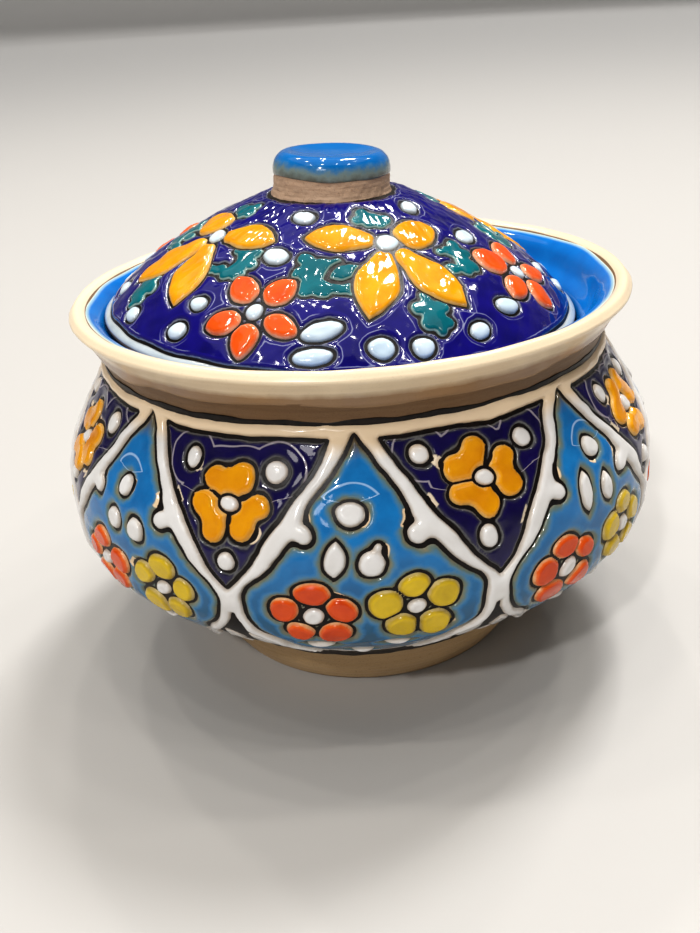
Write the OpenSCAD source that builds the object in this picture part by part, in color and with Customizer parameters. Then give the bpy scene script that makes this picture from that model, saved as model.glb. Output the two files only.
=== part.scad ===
// A squat lidded pot of thrown clay with raised, outlined glazes.
// Two pieces come apart: the bowl, and the lid with its knob. Every glaze is a fired layer of one of them.
// Millimetres. The origin is the centre of the foot ring, +Z is up and -Y is the front.

/* [Bowl] */
// Largest radius of the clay belly
belly_radius = 64.3; // [63:0.1:66]
// Height of the widest part of the belly
belly_height = 42.2; // [41:0.1:44]
// Outer radius of the foot ring where it stands
foot_radius = 33.7; // [32:0.1:35]
// Height of the bare clay band around the foot
foot_height = 5.2; // [4.5:0.1:6]
// Outer radius of the neck at its narrowest
neck_radius = 53.9; // [53:0.1:55]
// Height of the narrowest part of the neck
neck_height = 70.9; // [70:0.1:72]
// Outer radius of the flared lip
lip_radius = 59.5; // [59:0.1:61]
// Height of the outer edge of the lip
lip_height = 80.6; // [80:0.1:82]
// Thickness of the wall in the belly
wall = 4.6; // [4:0.1:5.5]

/* [Lid] */
// Radius of the lid at its edge
lid_radius = 50.6; // [50:0.1:50.8]
// Height of the lid's edge above the surface the pot stands on
seat_height = 76.4; // [76.4:0.1:77]
// Height from the lid's edge to the crown under the knob
crown_rise = 26.3; // [25:0.1:28]
// Lean of the resting lid in its seat, in degrees
lid_lean = 3.3; // [0:0.1:3.4]
// How far the resting lid lies to the left of the middle
lid_shift = 2.1; // [1.8:0.1:2.2]
// Radius of the locating ring under the lid
locator_radius = 44; // [42:0.1:44.5]
// Depth of the locating ring below the lid's edge
locator_depth = 6; // [4:0.1:7]

/* [Knob] */
// Radius of the knob at its waist
knob_radius = 12; // [11:0.1:13]
// Height of the knob's top above the lid's edge
knob_top = 32.2; // [31:0.1:34]
// How far the knob stands to the left of the lid's middle
knob_shift = 1.6; // [0:0.1:2]

/* [Decoration] */
// Number of blue panels around the belly
panels = 8; // [8:1:8]
// Thickness of the dark wash under the glazes
wash = 0.15; // [0.1:0.05:0.2]
// Height of the ground glazes above the clay
ground = 0.7; // [0.5:0.05:0.8]
// Height of the raised glazes above the clay
relief = 1.3; // [1:0.05:1.5]
// Thickness of the glaze inside the bowl and under the lid
lining = 0.4; // [0.3:0.05:0.5]

/* [Hidden] */

round_fn = 96;
motif_fn = 32;
outline_steps = 4;
panel_angle = 360 / panels;
through = 40;
petals = 5;
blue = "#1767a8";
navy = "#14125e";
white = "#e9e6dc";
orange = "#e2561b";
yellow = "#d2ae22";
ochre = "#e89f12";
teal = "#0d6c76";
clay = "#c9a57c";
black = "#15110f";

// ---- curves -------------------------------------------------------------------------------

// Point on the smooth curve through b and c, whose neighbours are a and d.
function curve_point(a, b, c, d, t) =
    0.5 * (2 * b + (c - a) * t + (2 * a - 5 * b + 4 * c - d) * t * t
    + (3 * b - a - 3 * c + d) * t * t * t);

// Smooth curve through the points p, with a few steps between each two.
function smooth(p, steps = outline_steps) = [
    for (i = [0 : len(p) - 2])
        for (k = [0 : steps - 1])
            curve_point(
                i == 0 ? 2 * p[0] - p[1] : p[i - 1],
                p[i],
                p[i + 1],
                i == len(p) - 2 ? 2 * p[i + 1] - p[i] : p[i + 2],
                k / steps),
    p[len(p) - 1]
];

// Point part of the way from a to b, with its own fraction of the radius and of the height.
function between(a, b, radial, rise) = [a.x + (b.x - a.x) * radial, a.y + (b.y - a.y) * rise];

function along(p, i) = p[min(i + 1, len(p) - 1)] - p[max(i - 1, 0)];
function normal(v) = [v.y, -v.x] / norm(v);

// The curve p moved sideways by d, away from the axis when p runs upwards.
function moved(p, d) = [
    for (i = [0 : len(p) - 1])
        let (q = p[i] + d * normal(along(p, i)))
            [max(0, q.x), q.y]
];
function reversed(p) = [for (i = [len(p) - 1 : -1 : 0]) p[i]];
function between_heights(p, low, high) = [for (q = p) if (q.y >= low && q.y <= high) q];
function between_radii(p, low, high) = [for (q = p) if (q.x >= low && q.x <= high) q];

// ---- outlines -----------------------------------------------------------------------------

foot = [foot_radius, 0];
foot_top = [foot_radius + 3.4, foot_height];
belly = [belly_radius, belly_height];
neck = [neck_radius, neck_height];
lip = [lip_radius, lip_height];

bowl_outline = smooth([
    foot,
    foot_top,
    between(foot_top, belly, 0.09, 0.146),
    between(foot_top, belly, 0.294, 0.313),
    between(foot_top, belly, 0.65, 0.507),
    between(foot_top, belly, 0.949, 0.748),
    belly,
    between(belly, neck, 0.115, 0.33),
    between(belly, neck, 0.538, 0.623),
    between(belly, neck, 0.942, 0.857),
    neck,
    between(neck, lip, 0.46, 0.61),
    lip
]);

lip_top = [lip_radius - 1.3, lip_height + 1.3];
lip_inner = [lip_radius - 3.1, lip_height + 0.7];
throat = [neck_radius - 5, neck_height + 1.1];
floor_radius = 14;
floor_height = 9.4;

// Inside of the bowl, from the lip down the flared seat and the belly to the floor.
bowl_inside = smooth([
    lip_inner,
    [53.8, 79.3],
    [52, 76.2],
    throat,
    [belly_radius - 13, 64],
    [belly_radius - wall - 1.4, 54],
    [belly_radius - wall, belly_height],
    [belly_radius - wall - 2, 33],
    [belly_radius - wall - 13, 22],
    [32, 13],
    [floor_radius, floor_height]
]);

decor_low = 11.5;
decor_high = neck_height - 0.5;
bowl_decor = between_heights(bowl_outline, decor_low, decor_high);

// Crown of the lid, from its edge to the axis, measured from the lid's own edge.
lid_outline = smooth([
    [lid_radius, 0.2],
    [lid_radius - 2.2, 2],
    [lid_radius - 5, 4.9],
    [lid_radius - 9.9, 9.3],
    [lid_radius - 16.9, 13.8],
    [lid_radius - 23.8, 17.8],
    [lid_radius - 30.8, 21],
    [lid_radius - 37.2, 23.7],
    [0, crown_rise]
]);
band_radius = lid_radius - 1.7;
knob_foot = 13.4;
lid_decor = between_radii(lid_outline, knob_foot + 0.4, band_radius);
lid_rim = between_radii(lid_outline, band_radius + 0.4, lid_radius);

lid_inside = smooth([
    [locator_radius - 3, -0.5],
    [locator_radius - 5, 3.6],
    [locator_radius - 12, 9.6],
    [locator_radius - 21, 14.6],
    [locator_radius - 32, 18.2],
    [0, crown_rise - 6]
]);

// ---- placing ------------------------------------------------------------------------------

function radius_at(z) = lookup(z, [for (q = bowl_outline) [q.y, q.x]]);
function bowl_tilt(z) = atan2(radius_at(z - 1) - radius_at(z + 1), 2);
function rise_at(r) = lookup(r, [for (q = lid_outline) [q.x, q.y]]);
function lid_tilt(r) = atan2(2, rise_at(r - 1) - rise_at(r + 1));

// Puts a flat motif on the belly, facing out, with its +Y up the wall.
module on_bowl(angle, z) {
    rotate([0, 0, angle])
        translate([0, -radius_at(z), z])
            rotate([90 - bowl_tilt(z), 0, 0])
                children();
}

// Puts a flat motif on the lid's crown, facing out, with its +Y towards the knob.
module on_lid(angle, r) {
    rotate([0, 0, angle])
        translate([0, -r, rise_at(r)])
            rotate([90 - lid_tilt(r), 0, 0])
                children();
}

// The lid and all that is fired onto it, as it lies in its seat.
module in_seat() {
    translate([-lid_shift, 0, seat_height])
        rotate([0, lid_lean, 0])
            children();
}

// Ring of glaze that follows the curve p, from one height above the clay to another.
module coat(p, low, high) {
    rotate_extrude($fn = round_fn)
        polygon(concat(moved(p, low), reversed(moved(p, high))));
}

// Prism through the wall, for cutting a motif out of a coat.
module cutter(depth = 5) {
    translate([0, 0, -depth])
        linear_extrude(height = 2 * depth)
            children();
}

// Prism of a panel's outline, cut level through the front of the belly at one angle.
module panel_cutter(angle) {
    rotate([0, 0, angle])
        translate([0, -through, 0])
            rotate([90, 0, 0])
                linear_extrude(height = through)
                    children();
}

// ---- motifs -------------------------------------------------------------------------------

// Leaf pointed at both ends, which starts near the origin and reaches length along +Y.
module leaf(length, width) {
    r = (length * length + width * width) / (4 * width);
    translate([0, length / 2])
        intersection() {
            translate([r - width / 2, 0])
                circle(r = r, $fn = 2 * motif_fn);
            translate([width / 2 - r, 0])
                circle(r = r, $fn = 2 * motif_fn);
        }
}

heart = 1.7;

// Round spot, stretched up and down by a smaller circle at each end if it is a tall one.
module round_spot(across, up) {
    circle(r = across, $fn = motif_fn);
    if (up > across + 0.4)
        for (end = [-1, 1])
            translate([0, end * (up - 0.8 * across)])
                circle(r = 0.8 * across, $fn = motif_fn);
}

// Five round petals around an open heart.
module five_petals(reach, size) {
    for (i = [0 : petals - 1])
        rotate(i * 360 / petals)
            translate([0, reach])
                circle(r = size, $fn = motif_fn);
}

// Three heart-shaped petals around an open heart: two lobes each, which meet near the middle.
module lobed_petals() {
    for (turn = [0, 120, 240])
        rotate(turn) {
            for (side = [-1, 1])
                translate([side * 2.2, 4.9])
                    circle(r = 2.3, $fn = motif_fn);
            translate([0, 3.3])
                circle(r = 1.9, $fn = motif_fn);
        }
}

// Half outlines of the panels, as distance from the panel's middle and height.
blue_half = [[0, 68.6], [5, 62], [9.8, 54.5], [17.3, 46.3], [21.3, 42.4], [22.2, 38.5],
    [20.5, 33.5], [16, 30], [10, 25], [0, 22.5]];
navy_half = [[0, 67.6], [16.4, 67.6], [12.9, 60], [6.8, 51], [3.4, 46], [0, 42.3]];
blue_middle = 42;
navy_middle = 58;

// Painted in turn on the navy panels: how far each lobed flower is rotated.
lobed_turns = [28, 52, 28, 0];

// The three white spots at the top of a blue panel, as [aside, height, half width, half height];
// the layouts are painted in turn.
spots = [
    [[-1.2, 55.6, 2.5, 2.5], [-4.5, 49.2, 2, 3.2], [1.6, 47.9, 2.4, 2.4]],
    [[2, 57.7, 2.3, 2.3], [-2.4, 50.5, 1.8, 3.6], [3.9, 49.6, 1.6, 2.7]],
    [[-1.6, 56.8, 2.4, 2.4], [3.4, 49.4, 1.9, 3.1], [-3.4, 48.6, 2.3, 2.3]],
    [[-1.2, 55.8, 1.8, 2.7], [-3.3, 48.8, 2.2, 2.2], [3.7, 48.6, 2.2, 2.2]]
];

function both_sides(p) = concat(p, [for (i = [len(p) - 2 : -1 : 1]) [-p[i].x, p[i].y]]);

module panel(half, middle, size = 1) {
    translate([0, middle])
        scale(size)
            translate([0, -middle])
                polygon(both_sides(half));
}

// ---- bowl ---------------------------------------------------------------------------------

ring_inner = 27.5;
ring_recess = 3.4;

module bowl_body() {
    color(clay)
        rotate_extrude($fn = round_fn)
            polygon(concat(
                bowl_outline,
                [lip_top],
                bowl_inside,
                [[0, floor_height - 0.4], [0, ring_recess + 0.8], [ring_inner - 4, ring_recess],
                    [ring_inner - 0.8, ring_recess - 0.6], [ring_inner, 0]]));
}

module bowl_lining_glaze() {
    floor_end = [[0, floor_height - 0.4 + lining], [0, floor_height - 0.4]];
    color(blue)
        rotate_extrude($fn = round_fn)
            polygon(concat(
                moved(bowl_inside, lining), floor_end, reversed(bowl_inside)));
}

// Clear glaze over the bare clay of the lip and the underside of its flare.
module bowl_rim_glaze() {
    flare = concat(between_heights(bowl_outline, neck_height + 5, lip_height + 1), [lip_top]);
    color("#ddc7a0")
        coat(flare, 0, 0.25);
}

module bowl_outline_wash() {
    color(black)
        coat(bowl_decor, 0, wash);
}

module bowl_blue_panels() {
    color(blue)
        intersection() {
            coat(bowl_decor, wash, ground);
            for (i = [0 : panels - 1])
                panel_cutter(i * panel_angle)
                    panel(blue_half, blue_middle, 0.955);
        }
}

module bowl_navy_panels() {
    color(navy)
        intersection() {
            coat(bowl_decor, wash, ground);
            for (i = [0 : panels - 1])
                panel_cutter((i + 0.5) * panel_angle)
                    panel(navy_half, navy_middle, 0.93);
        }
}

// The raised slip between the panels, from the collar down to the scallops under the blue panels.
module bowl_white_bands() {
    color(white)
        difference() {
            intersection() {
                coat(bowl_decor, wash, relief);
                union() {
                    translate([0, 0, 38])
                        cylinder(r = 2 * belly_radius, h = 40, $fn = round_fn);
                    for (i = [0 : panels - 1])
                        panel_cutter(i * panel_angle)
                            panel(blue_half, blue_middle, 1.13);
                }
            }
            for (i = [0 : panels - 1]) {
                panel_cutter(i * panel_angle)
                    panel(blue_half, blue_middle);
                panel_cutter((i + 0.5) * panel_angle)
                    panel(navy_half, navy_middle);
            }
        }
}

module bowl_white_dots() {
    color(white)
        intersection() {
            coat(bowl_decor, ground, relief);
            for (i = [0 : panels - 1]) {
                for (spot = spots[i % len(spots)])
                    on_bowl(i * panel_angle + spot[0], spot[1])
                        cutter()
                            round_spot(spot[2], spot[3]);
                on_bowl((i + 0.5) * panel_angle - 8.6, 63.2)
                    cutter()
                        circle(r = 2, $fn = motif_fn);
                on_bowl((i + 0.5) * panel_angle + 8.4, 63)
                    cutter()
                        circle(r = 2, $fn = motif_fn);
                on_bowl((i + 0.5) * panel_angle, 48.6)
                    cutter()
                        circle(r = 1.9, $fn = motif_fn);
            }
        }
}

module bowl_orange_flowers() {
    color(orange)
        intersection() {
            coat(bowl_decor, ground, relief);
            for (i = [0 : panels - 1])
                on_bowl(i * panel_angle - 8.8, 37.2)
                    cutter()
                        five_petals(4.9, 2.6);
        }
}

module bowl_yellow_flowers() {
    color(yellow)
        intersection() {
            coat(bowl_decor, ground, relief);
            for (i = [0 : panels - 1])
                on_bowl(i * panel_angle + 8.2, 38)
                    cutter()
                        five_petals(4.9, 2.6);
        }
}

module bowl_ochre_flowers() {
    color(ochre)
        difference() {
            intersection() {
                coat(bowl_decor, ground, relief);
                for (i = [0 : panels - 1])
                    on_bowl((i + 0.5) * panel_angle, 58)
                        cutter()
                            rotate(lobed_turns[i % len(lobed_turns)])
                                lobed_petals();
            }
            for (i = [0 : panels - 1])
                on_bowl((i + 0.5) * panel_angle, 58)
                    cutter()
                        circle(r = heart + 0.3, $fn = motif_fn);
        }
}

module bowl_flower_centres() {
    color(white)
        intersection() {
            coat(bowl_decor, ground, relief);
            for (i = [0 : panels - 1]) {
                on_bowl(i * panel_angle - 8.8, 37.2)
                    cutter()
                        circle(r = heart, $fn = motif_fn);
                on_bowl(i * panel_angle + 8.2, 38)
                    cutter()
                        circle(r = heart, $fn = motif_fn);
                on_bowl((i + 0.5) * panel_angle, 58)
                    cutter()
                        circle(r = heart, $fn = motif_fn);
            }
        }
}

module bowl_foot_leaves() {
    color(white)
        intersection() {
            coat(bowl_decor, wash, ground);
            for (i = [0 : panels - 1])
                for (side = [-1, 1])
                    on_bowl((i + 0.5) * panel_angle, 17)
                        cutter()
                            rotate(side * 38)
                                translate([0, 1])
                                    leaf(9, 2.2);
        }
}

// ---- lid ----------------------------------------------------------------------------------

edge_drop = 1;

module lid_body() {
    color(clay)
        in_seat()
            rotate_extrude($fn = round_fn)
                polygon(concat(
                    lid_outline,
                    reversed(lid_inside),
                    [[locator_radius - 3.2, 0.6 - locator_depth],
                        [locator_radius - 2.4, -locator_depth],
                        [locator_radius - 0.8, -locator_depth],
                        [locator_radius, 0.8 - locator_depth],
                        [locator_radius + 0.4, -edge_drop],
                        [lid_radius - 1, -edge_drop],
                        [lid_radius - 0.2, -0.5]]));
}

module lid_lining_glaze() {
    crown = between_radii(lid_inside, 0, locator_radius - 5);
    color(blue)
        in_seat()
            rotate_extrude($fn = round_fn)
                polygon(concat(
                    crown, reversed(moved(crown, -lining))));
}

module lid_outline_wash() {
    color(black)
        in_seat()
            coat(lid_decor, 0, wash);
}

module lid_cobalt_ground() {
    color(navy)
        in_seat()
            coat(lid_decor, wash, ground);
}

module lid_edge_band() {
    color(white)
        in_seat()
            coat(lid_rim, 0, 0.3);
}

flower_angles = [-63, 21, 108, 200];
orange_angles = [-23, 65, 154, 243];
flower_radius = 26.5;
orange_radius = 40;

// Long and short petals of one large flower; hand is 1 or -1 and turns the short petal's side.
module large_flower(hand) {
    heart_gap = 2.3;
    for (side = [-1, 1])
        rotate(180 + side * 30)
            translate([0, heart_gap])
                leaf(17, 7.4);
    rotate(hand * 61)
        translate([0, heart_gap])
            leaf(13, 6.4);
    rotate(-hand * 70)
        translate([0, heart_gap + 3.8])
            circle(r = 3.6, $fn = motif_fn);
}

module lid_yellow_flowers() {
    color(ochre)
        in_seat()
            intersection() {
                coat(lid_decor, ground, relief);
                for (i = [0 : 3])
                    on_lid(flower_angles[i], flower_radius)
                        cutter(8)
                            large_flower(i % 2 == 0 ? -1 : 1);
            }
}

module lid_orange_flowers() {
    color(orange)
        in_seat()
            intersection() {
                coat(lid_decor, ground, relief);
                for (angle = orange_angles)
                    on_lid(angle, orange_radius)
                        cutter()
                            five_petals(5.9, 2.9);
            }
}

// Leaf of three round lobes.
module lobed_leaf(size) {
    for (turn = [0, 120, 240])
        rotate(turn)
            translate([0, 0.45 * size])
                circle(r = 0.5 * size, $fn = motif_fn);
}

module lid_teal_leaves() {
    color(teal)
        in_seat()
            difference() {
                intersection() {
                    coat(lid_decor, ground, relief);
                    for (angle = flower_angles) {
                        for (side = [-1, 1])
                            on_lid(angle + side * 23, 31.5)
                                cutter()
                                    lobed_leaf(5.4);
                        on_lid(angle, 41)
                            cutter()
                                lobed_leaf(4.2);
                        on_lid(angle, 19)
                            cutter()
                                lobed_leaf(3.4);
                    }
                }
                for (i = [0 : 3])
                    on_lid(flower_angles[i], flower_radius)
                        cutter(8)
                            scale(1.06)
                                large_flower(i % 2 == 0 ? -1 : 1);
            }
}

module lid_white_dots() {
    color(white)
        in_seat()
            intersection() {
                coat(lid_decor, ground, relief);
                for (angle = orange_angles) {
                    on_lid(angle, 17.6)
                        cutter()
                            circle(r = 2.1, $fn = motif_fn);
                    on_lid(angle, 29.2)
                        cutter()
                            circle(r = 2.3, $fn = motif_fn);
                    for (side = [-1, 1])
                        on_lid(angle + side * 18.5, 42.4)
                            cutter()
                                circle(r = 2.1, $fn = motif_fn);
                }
            }
}

module lid_flower_centres() {
    color(white)
        in_seat()
            intersection() {
                coat(lid_decor, ground, relief);
                union() {
                    for (angle = flower_angles)
                        on_lid(angle, flower_radius)
                            cutter()
                                circle(r = heart + 0.3, $fn = motif_fn);
                    for (angle = orange_angles)
                        on_lid(angle, orange_radius)
                            cutter()
                                circle(r = heart, $fn = motif_fn);
                }
            }
}

// ---- knob ---------------------------------------------------------------------------------

knob_base = 19;
glaze_line = knob_top - 4.2;
top_round = 3;

// Outline of the knob from its waist over the rounded edge to the axis, moved out by d.
function knob_crown(d) = [
    [knob_radius + d, glaze_line],
    for (a = [0 : 15 : 90])
        [knob_radius - top_round + (top_round + d) * cos(a),
            knob_top - top_round + (top_round + d) * sin(a)],
    [0, knob_top + d - 0.3]
];

module knob() {
    color(clay)
        in_seat()
            difference() {
                translate([-knob_shift, 0, 0])
                    rotate_extrude($fn = round_fn)
                        polygon(concat(
                            [[0, knob_base], [knob_radius + 0.9, knob_base],
                                [knob_radius + 0.5, knob_base + 5.6],
                                [knob_radius, knob_base + 7]],
                            knob_crown(0)));
                rotate_extrude($fn = round_fn)
                    polygon(concat(lid_outline, [[0, 0]]));
            }
}

module knob_glaze_cap() {
    color(blue)
        in_seat()
            translate([-knob_shift, 0, 0])
                rotate_extrude($fn = round_fn)
                    polygon(concat(knob_crown(0.4), reversed(knob_crown(0))));
}

// ---- the pot ------------------------------------------------------------------------------

bowl_body();
bowl_lining_glaze();
bowl_rim_glaze();
bowl_outline_wash();
bowl_blue_panels();
bowl_navy_panels();
bowl_white_bands();
bowl_white_dots();
bowl_orange_flowers();
bowl_yellow_flowers();
bowl_ochre_flowers();
bowl_flower_centres();
bowl_foot_leaves();
lid_body();
lid_lining_glaze();
lid_outline_wash();
lid_cobalt_ground();
lid_edge_band();
lid_yellow_flowers();
lid_orange_flowers();
lid_teal_leaves();
lid_white_dots();
lid_flower_centres();
knob();
knob_glaze_cap();
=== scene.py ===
"""Looks of the lidded painted pot: clay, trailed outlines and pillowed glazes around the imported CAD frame.

Lengths are millimetres until a mesh is made, which is in metres. Angles around the pot are degrees from the
front (-Y), positive towards +X. A "field" is a grid over a surface of revolution; each glaze is the part of
its field where a distance function is negative, cut out exactly and raised into a pillow.
"""

import math

import bpy
import numpy as np
from mathutils import Matrix
from mathutils.kdtree import KDTree


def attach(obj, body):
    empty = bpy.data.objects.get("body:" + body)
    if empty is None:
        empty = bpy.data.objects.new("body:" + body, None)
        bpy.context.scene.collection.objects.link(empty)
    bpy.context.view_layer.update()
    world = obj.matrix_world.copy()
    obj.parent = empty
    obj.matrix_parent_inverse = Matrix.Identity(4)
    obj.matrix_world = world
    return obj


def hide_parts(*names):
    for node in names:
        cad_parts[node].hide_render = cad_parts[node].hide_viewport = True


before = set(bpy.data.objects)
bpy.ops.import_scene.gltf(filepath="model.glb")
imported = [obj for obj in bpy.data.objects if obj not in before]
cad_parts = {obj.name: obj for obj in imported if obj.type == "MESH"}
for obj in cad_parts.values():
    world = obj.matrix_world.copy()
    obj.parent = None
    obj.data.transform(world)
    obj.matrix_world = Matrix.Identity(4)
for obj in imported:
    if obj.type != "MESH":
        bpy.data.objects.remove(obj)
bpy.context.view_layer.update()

MM = 0.001
FAR = 4.0
rng = np.random.default_rng(12)


def placed(name, data):
    """A new object in the scene."""
    thing = bpy.data.objects.new(name, data)
    bpy.context.scene.collection.objects.link(thing)
    return thing


# ---- camera ----

CAMERA_PLACE = (0.0, -220.1, 142.7)
CAMERA_DOWN = 25.8
CAMERA_LEFT = 0.63
CAMERA_ROLL = 3.85
CAMERA_LENS = 39.9


def add_camera():
    data = bpy.data.cameras.new("camera")
    data.lens = CAMERA_LENS
    data.sensor_fit = "VERTICAL"
    data.sensor_height = 36.0
    data.clip_start = 0.01
    camera = placed("camera", data)
    aim = Matrix.Rotation(math.radians(CAMERA_LEFT), 4, "Z")
    aim = aim @ Matrix.Rotation(math.radians(90 - CAMERA_DOWN), 4, "X")
    aim = aim @ Matrix.Rotation(math.radians(-CAMERA_ROLL), 4, "Z")
    camera.matrix_world = Matrix.Translation([c * MM for c in CAMERA_PLACE]) @ aim
    bpy.context.scene.camera = camera


# ---- outlines, the same as the CAD's ----

BELLY_RADIUS, BELLY_HEIGHT = 64.3, 42.2
FOOT_RADIUS, FOOT_HEIGHT = 33.7, 5.2
NECK_RADIUS, NECK_HEIGHT = 53.9, 70.9
LIP_RADIUS, LIP_HEIGHT = 59.5, 80.6
WALL = 4.6
LID_RADIUS, SEAT_HEIGHT, CROWN_RISE = 50.6, 76.4, 26.3
LID_LEAN, LID_SHIFT = 3.3, 2.1
LOCATOR_RADIUS, LOCATOR_DEPTH = 44.0, 6.0
KNOB_RADIUS, KNOB_TOP, KNOB_SHIFT, KNOB_FOOT = 12.0, 32.2, 1.6, 13.4
PANELS = 8
PANEL_ANGLE = 360 / PANELS


def smooth(points, steps=12):
    """Catmull-Rom curve through the points."""
    p = np.array(points, float)
    p = np.vstack([2 * p[0] - p[1], p, 2 * p[-1] - p[-2]])
    t = np.linspace(0, 1, steps, endpoint=False)[:, None]
    pieces = []
    for a, b, c, d in zip(p, p[1:], p[2:], p[3:]):
        cubic = 3 * b - a - 3 * c + d
        square = 2 * a - 5 * b + 4 * c - d
        pieces.append(0.5 * (2 * b + (c - a) * t + square * t * t + cubic * t**3))
    return np.vstack(pieces + [p[-2:-1]])


def part_way(a, b, radial, rise):
    return (a[0] + (b[0] - a[0]) * radial, a[1] + (b[1] - a[1]) * rise)


FOOT = (FOOT_RADIUS, 0)
FOOT_TOP = (FOOT_RADIUS + 3.4, FOOT_HEIGHT)
BELLY = (BELLY_RADIUS, BELLY_HEIGHT)
NECK = (NECK_RADIUS, NECK_HEIGHT)
LIP = (LIP_RADIUS, LIP_HEIGHT)
BOWL_OUTLINE = [FOOT, FOOT_TOP]
for shares in ((0.09, 0.146), (0.294, 0.313), (0.65, 0.507), (0.949, 0.748)):
    BOWL_OUTLINE.append(part_way(FOOT_TOP, BELLY, *shares))
BOWL_OUTLINE.append(BELLY)
for shares in ((0.115, 0.33), (0.538, 0.623), (0.942, 0.857)):
    BOWL_OUTLINE.append(part_way(BELLY, NECK, *shares))
BOWL_OUTLINE += [NECK, part_way(NECK, LIP, 0.46, 0.61), LIP]
LIP_TOP = (LIP_RADIUS - 1.3, LIP_HEIGHT + 1.3)
LIP_INNER = (LIP_RADIUS - 3.1, LIP_HEIGHT + 0.7)
BOWL_INSIDE = [
    LIP_INNER,
    (53.8, 79.3),
    (52.0, 76.2),
    (NECK_RADIUS - 5, NECK_HEIGHT + 1.1),
    (BELLY_RADIUS - 13, 64),
    (BELLY_RADIUS - WALL - 1.4, 54),
    (BELLY_RADIUS - WALL, BELLY_HEIGHT),
    (BELLY_RADIUS - WALL - 2, 33),
    (BELLY_RADIUS - WALL - 13, 22),
    (32, 13),
    (14, 9.4),
]
LID_INSETS = [(0, 0.2), (2.2, 2), (5, 4.9), (9.9, 9.3), (16.9, 13.8)]
LID_INSETS += [(23.8, 17.8), (30.8, 21), (37.2, 23.7)]
LID_OUTLINE = [(LID_RADIUS - inset, height) for inset, height in LID_INSETS] + [(0, CROWN_RISE)]
HOLLOW_INSETS = [(32, 18.2), (21, 14.6), (12, 9.6), (5, 3.6), (3, -0.5)]
LID_INSIDE = [(0, CROWN_RISE - 6)]
LID_INSIDE += [(LOCATOR_RADIUS - inset, height) for inset, height in HOLLOW_INSETS]

SEAT = Matrix.Translation((-LID_SHIFT, 0, SEAT_HEIGHT))
PLACES = {"bowl": Matrix.Identity(4), "lid": SEAT @ Matrix.Rotation(math.radians(LID_LEAN), 4, "Y")}


# ---- surfaces and fields ----


class Surface:
    """A surface of revolution about Z, measured by the distance s along its outline."""

    def __init__(self, outline):
        self.outline = np.array(outline, float)
        steps = np.hypot(*np.diff(self.outline, axis=0).T)
        self.length = np.concatenate([[0], np.cumsum(steps)])
        slope = np.gradient(self.outline, self.length, axis=0)
        self.slope = slope / np.linalg.norm(slope, axis=1)[:, None]

    def sample(self, s):
        """Radius, height, and the outline's direction at the distances s."""
        r, z = (np.interp(s, self.length, c) for c in self.outline.T)
        tr, tz = (np.interp(s, self.length, c) for c in self.slope.T)
        return r, z, tr, tz

    def points(self, theta, s):
        """Points and outward normals at angles theta (radians) and distances s."""
        r, z, tr, tz = self.sample(s)
        out = np.stack([np.sin(theta), -np.cos(theta), np.zeros_like(theta)], -1)
        up = np.zeros_like(out)
        up[..., 2] = 1
        place = out * r[..., None] + up * z[..., None]
        normal = out * tz[..., None] - up * tr[..., None]
        return place, normal

    def s_at_height(self, z):
        return float(np.interp(z, self.outline[:, 1], self.length))

    def s_at_radius(self, r):
        """For an outline whose radius falls all the way."""
        return float(np.interp(-r, -self.outline[:, 0], self.length))


RIPPLE_TERMS = 14
RIPPLE_STRETCH = 1.4


def ripple(theta, s, seed, wave, size, radius=55):
    """Smooth noise over a surface, in millimetres: seamless around it, about one wave apart."""
    dice = np.random.default_rng(seed)
    total = np.zeros(np.broadcast(theta, s).shape)
    for _ in range(RIPPLE_TERMS):
        turns = round(dice.normal() * math.pi * radius / wave)
        pitch = dice.normal() * 2 * math.pi / wave / RIPPLE_STRETCH
        total = total + np.cos(turns * theta + pitch * s + dice.uniform(0, 2 * math.pi))
    return size * total / math.sqrt(RIPPLE_TERMS / 2)


class Field:
    """A grid over part of a surface, and the distance functions drawn on it."""

    def __init__(self, surface, low, high, step, widest, seed, wander=0.2):
        self.surface = surface
        self.around = 8 * round(2 * math.pi * widest / step / 8)
        self.rows = int((high - low) / step) + 1
        theta = np.arange(self.around) * 2 * math.pi / self.around - math.pi
        s = np.linspace(low, high, self.rows)
        self.theta, self.s = np.meshgrid(theta, s)
        self.place, self.normal = surface.points(self.theta, self.s)
        self.radius = np.hypot(self.place[..., 0], self.place[..., 1])
        drift_u, drift_v = (
            ripple(self.theta, self.s, seed + k, 12, wander)
            + ripple(self.theta, self.s, seed + 2 + k, 3.5, 0.22 * wander)
            for k in (0, 1)
        )
        self.drawn_theta = self.theta + drift_u / self.radius
        self.drawn_s = self.s + drift_v
        self.drawn, _ = surface.points(self.drawn_theta, self.drawn_s)
        self.triangles = grid_triangles(self.rows, self.around)

    def blank(self):
        return np.full((self.rows, self.around), FAR)

    def near(self, angle, s, reach):
        """Grid points near a place, and their flat coordinates there: u to the right, v up the wall."""
        theta = math.radians(angle)
        centre, normal = self.surface.points(np.array(theta), np.array(s))
        right = np.array([math.cos(theta), math.sin(theta), 0])
        up = np.cross(normal, right)
        offset = self.drawn - centre
        index = np.nonzero((offset**2).sum(-1) < reach**2)
        offset = offset[index]
        return index, offset @ right, offset @ up

    def even(self, value):
        """A drawn function rescaled so that it measures distance along the surface."""
        ds = np.gradient(value, self.s[:, 0], axis=0)
        wrapped = np.concatenate([value[:, -1:], value, value[:, :1]], axis=1)
        turn = self.theta[0, 1] - self.theta[0, 0]
        du = (wrapped[:, 2:] - wrapped[:, :-2]) / (2 * turn) / self.radius
        return value / np.clip(np.hypot(ds, du), 0.5, 2)


# ---- flat shapes, as signed distances ----


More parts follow.
